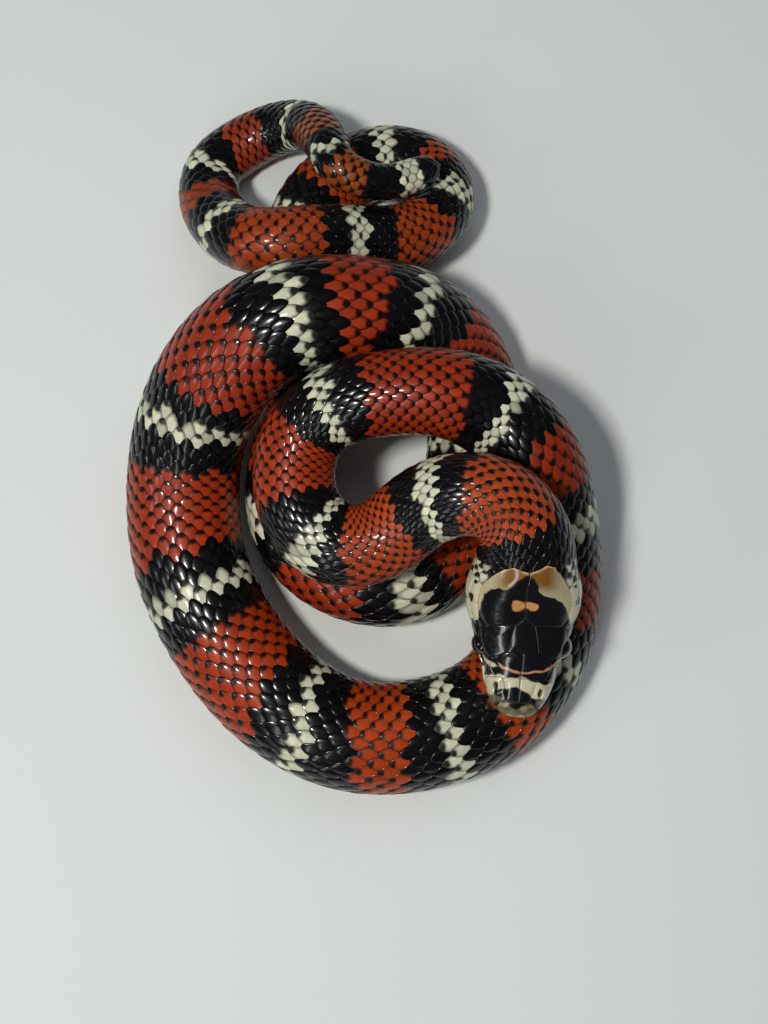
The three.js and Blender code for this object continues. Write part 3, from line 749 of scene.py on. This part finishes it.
def make_skin(material):
    """One closed skin from snout to tail: rings of points over the spine, joined in quads and closed by a fan at
    each end. It lies under the scales, has a groove for the mouth, bowls for the eyes and comes up at the snout:
    its height is a sum of smooth steps in the distances from the mouth's line, the eyes and the nostrils."""
    lip = MOUTH_TURN + np.array([-3.4, -1.6, 0, 1.6, 3.4])
    turns = np.sort(np.concatenate([np.linspace(-180, 180, SKIN_ROUND + 1)[:-1], lip, -lip]))
    tail_rows = LENGTH - TAIL_TIP * (1 - np.array([0.0, 0.2, 0.4, 0.6, 0.75, 0.87, 0.95]))
    body_rows = np.arange(BODY_ROWS_START, LENGTH - TAIL_TIP, BODY_ROWS_STEP)
    rows = np.concatenate([np.linspace(0.12, 4, HEAD_ROWS) ** 2, body_rows, tail_rows])
    s, t = np.meshgrid(rows, turns, indexing="ij")
    a = np.abs(t)
    snout_edge = 1.15 - 0.62 * smooth(20, 100, a)
    bare = 1 - smooth(snout_edge - 0.10, snout_edge, s)
    lift = -SKIN_DEPTH + (SKIN_DEPTH + 0.02) * bare
    from_mouth = np.abs(a - MOUTH_TURN)
    lift -= GROOVE * (from_mouth < 0.5) * (s < MOUTH_LENGTH) * smooth(0.02, 0.2, s)
    lift -= LIP_LINE * (np.abs(from_mouth - 1.6) < 0.3) * (s < MOUTH_LENGTH) * (1 - bare)
    lift -= EYE_BOWL * (1 - smooth(0.55, 1.0, np.hypot((s - EYE["back"]) / 1.12, (a - EYE["turn"]) / 23)))
    x, y = chart(s, t)
    hole = np.minimum(from_nostril(x, y, 1), from_nostril(x, y, -1))
    lift -= NOSTRIL_BOWL * (1 - smooth(0.2, 0.5, hole))
    points = surface(s, t, lift, floor=0.07).reshape(-1, 3)
    points = np.vstack([points, surface([0, LENGTH], [0, 0], 0.0)])
    shade = (0.35 + 0.65 * bare)[..., None]
    # The nostrils' bowls are painted down to 2% of the colour: painted shade in the hollows.
    head = head_tint(s, t) * shade * (0.02 + 0.98 * smooth(0.3, 0.5, hole))[..., None]
    k = smooth(13.6, 14.4, s)[..., None]
    tint = (head * (1 - k) + SKIN_TONES[marking(s, t)] * k).reshape(-1, 3)
    tint = np.vstack([tint, tint[0], tint[-1]])
    # The flat unwrap of the quads' four corners, then of the two fans.
    i, j = np.meshgrid(np.arange(len(rows) - 1), np.arange(len(turns)), indexing="ij")
    edge = np.append(turns, 180.0)
    mid, strip, end = (edge[:-1] + edge[1:]) / 2, strip_of(rows)[i], STRIPS - 1
    corners = [[unwrap(rows[i + a], edge[j + b], strip) for a, b in ((0, 0), (1, 0), (1, 1), (0, 1))],
               [unwrap(0.0, mid, 0), unwrap(rows[0], edge[:-1], 0), unwrap(rows[0], edge[1:], 0)],
               [unwrap(LENGTH, mid, end), unwrap(rows[-1], edge[1:], end), unwrap(rows[-1], edge[:-1], end)]]
    uv = np.concatenate([np.stack(group, -2).reshape(-1, 2) for group in corners])
    return put_mesh("skin", points, tube(len(rows), len(turns)), material, uv, tint=tint,
                    polish=np.append(bare.ravel(), [1.0, 0.0]))


# The rows of scales: how many there are round the body, by distance along it.
ROW_COUNTS = np.array([(20, 23), (42, 21), (190, 21), (225, 19), (255, 17), (275, 14), (295, 11), (312, 9), (322, 7)])
# Where the rows start behind the head shields, by turn.
ROW_STARTS = np.array([(0, 14.1), (20, 14.5), (34, 14.2), (44, 13.2), (50, 12.6), (62, 12.4), (80, 12.3),
                       (100, 12.1), (118, 11.7), (135, 11.5), (150, 8.3)])
# How far round the rows reach, and where the tail starts.
ROW_REACH, TAIL_START = 119.0, 262.0


def pitch(s):
    """Distance from one scale to the next along a row: about a sixth of the body's width, less on the neck and
    more on the tail."""
    width = np.interp(s, SPINE_AT, SPINE[:, 3])
    width = np.where(s < 30, np.minimum(width, 7.6), width)
    neck = 0.03 * (1 - smooth(20, 40, s))
    return width * (0.166 - neck + 0.05 * smooth(TAIL_START, 300, s) + 0.05 * smooth(300, 318, s))


PITCH_S = np.arange(0, LENGTH + 0.01, 0.1)
PITCH_INDEX = np.concatenate([[0], np.cumsum(0.1 / pitch(PITCH_S[:-1]))])

# A scale's outline round its middle: angles from the tail-ward tip, closest near it, the rings within it, and how
# far it reaches to the tip and to the root, in steps.
SCALE_ANGLES = np.radians([0, 20, 40, 60, 84, 122, 180, -122, -84, -60, -40, -20])
SCALE_RINGS = np.array([0, 0.5, 0.86, 0.975, 1.0])
TO_TIP, TO_ROOT = 0.66, 0.86
# How many pieces the scales are split into.
SCALE_PIECES = 4


def scale_roots():
    """Distance and turn of each scale and the turn from one row to the next. Rows are a half step apart. A row's
    turn is the reach * (0.86 f + 0.14 f^3), where f is its place from -1 to 1, and goes on past 1 at the throat."""
    step, row = np.meshgrid(np.arange(0, int(PITCH_INDEX[-1]) + 1), np.arange(-16, 17), indexing="ij")
    s = np.interp(step + 0.5 * (row % 2), PITCH_INDEX, PITCH_S)
    count = np.interp(s, *ROW_COUNTS.T)
    f = 2 * row / count
    turn = ROW_REACH * (0.86 * f + 0.14 * f ** 3)
    spread = ROW_REACH * (0.86 + 0.42 * f ** 2) * 2 / count
    behind = s > np.interp(np.abs(turn), *ROW_STARTS.T)
    body = (np.abs(f) <= 1.0) & (s < LENGTH - 0.9)
    throat = (np.abs(f) > 1.0) & (np.abs(turn) < 181) & (s < 17)
    keep = behind & (body | throat)
    return s[keep], turn[keep], spread[keep]


def make_scales(material, rng):
    """Each scale is a closed lens: a rounded rhomb on the skin, its tip raised over the next scales, its rim turned
    down and its underside sunk in the skin. Its outline is |x|^p + |y|^p = 1, and its height is a thickness plus
    the slope times the distance to the tail, plus a dome of 1 - ring^2. Where scales crowd together on the inner
    side of a bend, slope and dome are lower. Points are distance and turn, so that a scale bends with the body."""
    s, turn, spread = scale_roots()
    order = np.argsort(s, kind="stable")
    s, turn, spread = s[order], turn[order], spread[order]
    p = pitch(s)
    half, crown = girth(s)[:2]
    radius = (half + crown) / 2
    across = np.radians(spread) * radius * 0.88
    tint, tip, spot = scale_tints(s, p, turn, rng)
    crowd = np.linalg.norm(surface(s + 0.3, turn, 0.0) - surface(s - 0.3, turn, 0.0), axis=-1) / 0.6
    crowd = crowd.clip(0.35, 1.1)
    slope = (SCALE_SLOPE + rng.normal(0, 0.008, s.shape)) * crowd
    thick = SCALE_THICK * np.minimum(p / FULL_STEP, 1.0) + rng.normal(0, 0.006, s.shape)
    skew = rng.normal(0, 0.03, s.shape)
    c, d = np.cos(SCALE_ANGLES), np.sin(SCALE_ANGLES)
    power = np.where(c > 0, 1.55, 1.8)
    reach = (np.abs(c) ** power + np.abs(d) ** power) ** (-1 / power)
    x_unit = c * reach * np.where(c > 0, TO_TIP, TO_ROOT)
    y_unit = d * reach
    rings = SCALE_RINGS[:, None]
    # From here on: scale, ring, point of the ring.
    s3, turn3, p3, across3, radius3, skew3, thick3, slope3, dome3 = [
        v[:, None, None] for v in (s, turn, p, across, radius, skew, thick, slope, p / FULL_STEP * crowd)]
    y = y_unit * rings * across3
    x = x_unit * rings * p3 + skew3 * y
    lift = thick3 + slope3 * x + SCALE_DOME * dome3 * (1 - rings ** 2)
    lift = lift - np.array([0, 0, 0, SCALE_STEP, 0])[:, None] - SKIN_DEPTH
    lift[:, -1] = -SKIN_DEPTH - SCALE_SUNK
    points = surface(s3 + x, turn3 + np.degrees(y / radius3), lift)
    # The inmost ring is one point.
    m, outer, count = len(SCALE_ANGLES), len(SCALE_RINGS) - 1, len(s)
    per = outer * m + 1
    verts = points.reshape(count, -1, 3)[:, m - 1:]
    lie = np.stack(np.broadcast_arrays(x_unit / TO_TIP * rings, y_unit * rings, rings), -1).reshape(-1, 3)[m - 1:]
    root_uv = unwrap(s, turn.clip(-178, 178), strip_of(s))
    pieces = []
    for part in range(SCALE_PIECES):
        pick = np.arange(count * part // SCALE_PIECES, count * (part + 1) // SCALE_PIECES)
        faces = copies(plate(outer, m), len(pick), per)
        loops = corners_of(faces)
        tints, tips, spots = [np.repeat(values[pick], per, axis=0) for values in (tint, tip, spot)]
        uv = root_uv[pick][loops // per] + PATCH * lie[loops % per, :2]
        pieces.append(put_mesh(f"scales_{part + 1}", verts[pick].reshape(-1, 3), faces, material, uv, tint=tints,
                               tip_tint=tips, spot=spots, lie=np.tile(lie, (len(pick), 1))))
    return pieces


def make_scutes(material, rng):
    """The belly's broad plates, one for each step of scales: a strip round the belly from flank to flank, its
    tail-ward edge raised over the next, closed by its sunk underside. Its points are a profile of distance and
    height, carried round in columns from -1 to 1: bowed tail-ward by 1 - c^2, and lower at the flanks by c^6."""
    index = np.arange(np.ceil(np.interp(15.6, PITCH_S, PITCH_INDEX)), int(PITCH_INDEX[-1]) - 1)
    s = np.interp(index, PITCH_INDEX, PITCH_S)
    p = pitch(s)[:, None, None]
    inner = (ROW_REACH * 0.985 + 20 * smooth(TAIL_START, 300, s))[:, None, None]
    columns = np.linspace(-1, 1, 17)
    profile = np.array([(-0.75, -0.10), (-0.4, 0.02), (0.2, 0.06), (0.55, 0.085), (0.62, 0.06), (0.62, -0.05)])
    along, high = profile.T[:, :, None]
    x = (along + 0.25 * (1 - columns ** 2) * 0.5) * p
    lift = high * (p / FULL_STEP) * (0.35 + 0.65 * (1 - columns ** 6)) - SKIN_DEPTH + 0.03
    points = surface(s[:, None, None] + x, 180 + columns * (180 - inner), lift)
    count, rows, m = points.shape[:3]
    per = rows * m
    r, c = np.meshgrid(np.arange(rows), np.arange(m - 1), indexing="ij")
    r2 = (r + 1) % rows
    quads = np.stack([r * m + c, r * m + c + 1, r2 * m + c + 1, r2 * m + c], -1).reshape(-1, 4)
    ends = np.stack([np.arange(rows) * m, (np.arange(rows) * m + m - 1)[::-1]])
    faces = copies([quads, ends], count, per)
    kind = marking(s[:, None] + rng.normal(0, 0.2, (count, m)), np.full((count, m), 180.0))
    tint = np.repeat(BELLY_TONES[kind][:, None], rows, axis=1).reshape(-1, 3)
    local = np.stack(np.broadcast_arrays(along, columns), -1).reshape(-1, 2)
    loops = corners_of(faces)
    uv = unwrap(s, 178.0, strip_of(s))[loops // per] + PATCH * local[loops % per]
    return put_mesh("belly_scutes", points.reshape(-1, 3), faces, material, uv, tint=tint, tip_tint=tint,
                    spot=np.full(count * per, 0.05), lie=np.zeros((count * per, 3)))


def twice_area(p):
    """Twice the area inside an outline, below zero if it runs clockwise: the sum of x * next y - next x * y."""
    return np.sum(p[:, 0] * np.roll(p[:, 1], -1) - np.roll(p[:, 0], -1) * p[:, 1])


def shield_outline(corners, side, gap, count):
    """A shield's outline on the chart: its corners moved in by the gap, points spread evenly along it, and corners
    rounded by a mean of the points around, weighted by e to the minus (distance / 0.13 mm)^2."""
    pts = np.array([(d, side * t) for d, t in corners])
    p = np.column_stack(chart(pts[:, 0], pts[:, 1]))
    if twice_area(p) < 0:
        p = p[::-1]
    edge = unit(np.roll(p, -1, axis=0) - p)
    inward = np.column_stack([-edge[:, 1], edge[:, 0]])
    before = np.roll(inward, 1, axis=0)
    p = p + gap * (inward + before) / np.maximum(1 + np.sum(inward * before, axis=1), 0.5)[:, None]
    loop = np.vstack([p, p[:1]])
    gone = along_line(loop)
    at = np.linspace(0, gone[-1], count, endpoint=False)
    even = np.column_stack([np.interp(at, gone, loop[:, k]) for k in range(2)])
    reach = np.arange(-8, 9)
    weights = np.exp(-(reach * (gone[-1] / count) / 0.13) ** 2)
    weights /= weights.sum()
    return sum(w * np.roll(even, -r, axis=0) for w, r in zip(weights, reach))


def make_shields(material):
    """Each head shield is a closed plate: rings of its outline drawn in to its middle, domed by 1 - ring^2.2, with
    the rim turned down and the underside sunk in the skin. The two nasal shields sink into a nostril at their
    middle, which is painted near black as shade, and their underside lies deeper."""
    parts, groups, first = [], [], 0
    outlines = [(FRONTAL, 1, False)]
    outlines += [(corners, side, k == NASAL) for k, corners in enumerate(SIDE_SHIELDS) for side in (1, -1)]
    for corners, side, nasal in outlines:
        size = np.sqrt(np.abs(twice_area(shield_outline(corners, side, SHIELD_GAP, 40))) / 2)
        m = int(np.clip(34 * size, 40, 116))
        rings = np.linspace(0, 0.9, int(np.clip(8 * size, 8, 26)) + 1)[1:]
        rings = np.append(rings, [0.95, 0.98, 1.0, 1.0, 0.6, 0.3])
        under = SHIELD_DEPTH + 0.4 * nasal
        drop = np.zeros(len(rings))
        drop[-5:] = 0.004, 0.020, SHIELD_DEPTH, under, under
        line = shield_outline(corners, side, SHIELD_GAP, m)
        middle = np.array(nostril(side)) if nasal else line.mean(axis=0)
        grid = middle + (line - middle)[None] * rings[:, None, None]
        x, y = np.vstack([middle[None], grid.reshape(-1, 2)]).T
        turn = np.degrees(y / mean_radius(x))
        r = np.concatenate([[0], np.repeat(np.append(rings[:-2], [1, 1]), m)])
        lift = -0.02 + SHIELD_DOME * min(size, 2.2) * (1 - r ** 2.2) - np.concatenate([[0], np.repeat(drop, m)])
        tint = head_tint(x, turn)
        if nasal:
            away = from_nostril(x, y, side)
            lift = lift - 0.42 * (1 - smooth(0.10, 0.34, away)) + 0.06 * bump_at(away - 0.42, 0, 0.14, 1)
            # The nostril at the shield's middle is painted down to 2% of the colour: painted shade in its hollow.
            tint = tint * (0.02 + 0.98 * smooth(0.19, 0.30, away))[:, None]
        uv = np.column_stack([0.02 + 0.94 * x / HEAD_CHART, 0.5 + 0.47 * turn / 180])
        parts.append((surface(x, turn, lift), tint, uv))
        groups.append([first + f for f in plate(len(rings), m)])
        first += len(x)
    points, tint, uv = [np.vstack(values) for values in zip(*parts)]
    fans, bands, bases = zip(*groups)
    faces = [np.concatenate(fans), np.concatenate(bands), *bases]
    uv = uv[corners_of(faces)]
    # The undersides share one small patch.
    hidden = len(uv) - sum(b.size for b in bases)
    uv[hidden:] = 0.985 + 0.01 * (uv[hidden:] - 0.5)
    return put_mesh("head_shields", points, faces, material, uv, tint=tint)


def make_eye(name, hand, material):
    """A ball with a slightly fuller front: rings of points round the axis that leaves the head sideways. Its radius
    grows by 2% * e to the minus (angle from the axis / 38 degrees)^2."""
    centre, along, up, side = spine_frame(EYE["back"])
    middle = centre + side * hand * EYE["out"] + up * EYE["up"]
    axis = unit(side * hand + up * 0.12 - along * 0.18)
    one = unit(np.cross(axis, up))
    two = np.cross(axis, one)
    polar = np.radians(np.linspace(0, 180, 33))[1:-1]
    around = np.radians(np.arange(0, 360, 7.5))
    a, b = np.meshgrid(polar, around, indexing="ij")
    radius = EYE["radius"] * (1 + 0.02 * np.exp(-(np.degrees(a) / 38) ** 2))
    a3, b3 = a[..., None], b[..., None]
    points = (middle + radius[..., None] * (np.cos(a3) * axis + np.sin(a3)
              * (np.cos(b3) * one + np.sin(b3) * two))).reshape(-1, 3)
    points = np.vstack([points, middle + axis * EYE["radius"] * 1.02, middle - axis * EYE["radius"]])
    return put_mesh(name, points, tube(*a.shape), material,
                    from_pupil=np.concatenate([np.degrees(a).ravel(), [0, 180]]))


def aim(name, data, place, target):
    """A camera or light at a place in mm, turned to a target."""
    thing = bpy.data.objects.new(name, data)
    thing.location = Vector(place) * MM
    thing.rotation_euler = (Vector(target) * MM - thing.location).to_track_quat("-Z", "Y").to_euler()
    bpy.context.scene.collection.objects.link(thing)
    return thing


def make_camera():
    """Ten degrees from straight down, 60 mm lens on a 36 mm frame height, aimed at the middle of the coils."""
    data = bpy.data.cameras.new("camera")
    data.lens = 60.0
    data.sensor_fit = "VERTICAL"
    data.sensor_height = 36.0
    data.clip_start = 0.01
    data.clip_end = 10.0
    bpy.context.scene.camera = aim("camera", data, (1.9, -34.23, 157.57), (1.9, -6.45, 0.0))
    bpy.context.scene.view_settings.view_transform = "Standard"


def make_light(name, place, target, size, power, tint, mirrored=True):
    """A soft light, size wide and tall, aimed at a point. One that isn't mirrored lights the parts but isn't seen in
    their gloss."""
    data = bpy.data.lights.new(name, "AREA")
    data.shape = "RECTANGLE"
    data.size, data.size_y = size[0] * MM, size[1] * MM
    data.energy = power
    data.color = [float(v) for v in linear(tint)]
    aim(name, data, place, target).visible_glossy = mirrored


def make_studio():
    """A pale floor, a strong soft key from the near left, a low window at the left and a tall one in front,
    a broad fill and an even surround."""
    floor = put_mesh("floor", np.array([(-700, -700, 0), (700, -700, 0), (700, 700, 0), (-700, 700, 0)], float),
                     [np.array([[0, 1, 2, 3]])], pale_floor(), smooth_faces=False)
    make_light("key", (-88, -54, 270), (0, 0, 0), (34, 34), 0.47, "#fdfbf5")
    make_light("fill", (60, 160, 320), (0, 0, 0), (300, 300), 0.24, "#eef4ff", mirrored=False)
    make_light("window", (-260, -110, 190), (0, 0, 5), (70, 70), 0.08, "#f4f8ff")
    make_light("tall window", (-106, -255, 211), (13, -17, 16), (34, 240), 0.15, "#f8fbff")
    world = bpy.data.worlds.new("surround")
    world.use_nodes = True
    world.node_tree.nodes["Background"].inputs["Color"].default_value = colour("#dfe6ee")
    world.node_tree.nodes["Background"].inputs["Strength"].default_value = 0.07
    bpy.context.scene.world = world


make_camera()
make_studio()
rng = np.random.default_rng(7)
scale_material = keratin_scale()
skin = make_skin(soft_skin())
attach(skin, "root")
flesh = [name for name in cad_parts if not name.startswith("eye_")]
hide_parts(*flesh)
for piece in make_scales(scale_material, rng) + [make_scutes(scale_material, rng)]:
    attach(piece, "root")
shields = make_shields(shield_keratin())
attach(shields, "root")
eye_material = wet_eye()
for name, hand in (("eye_left", 1), ("eye_right", -1)):
    ball = make_eye(name + "_ball", hand, eye_material)
    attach(ball, "root")
    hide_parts(name)
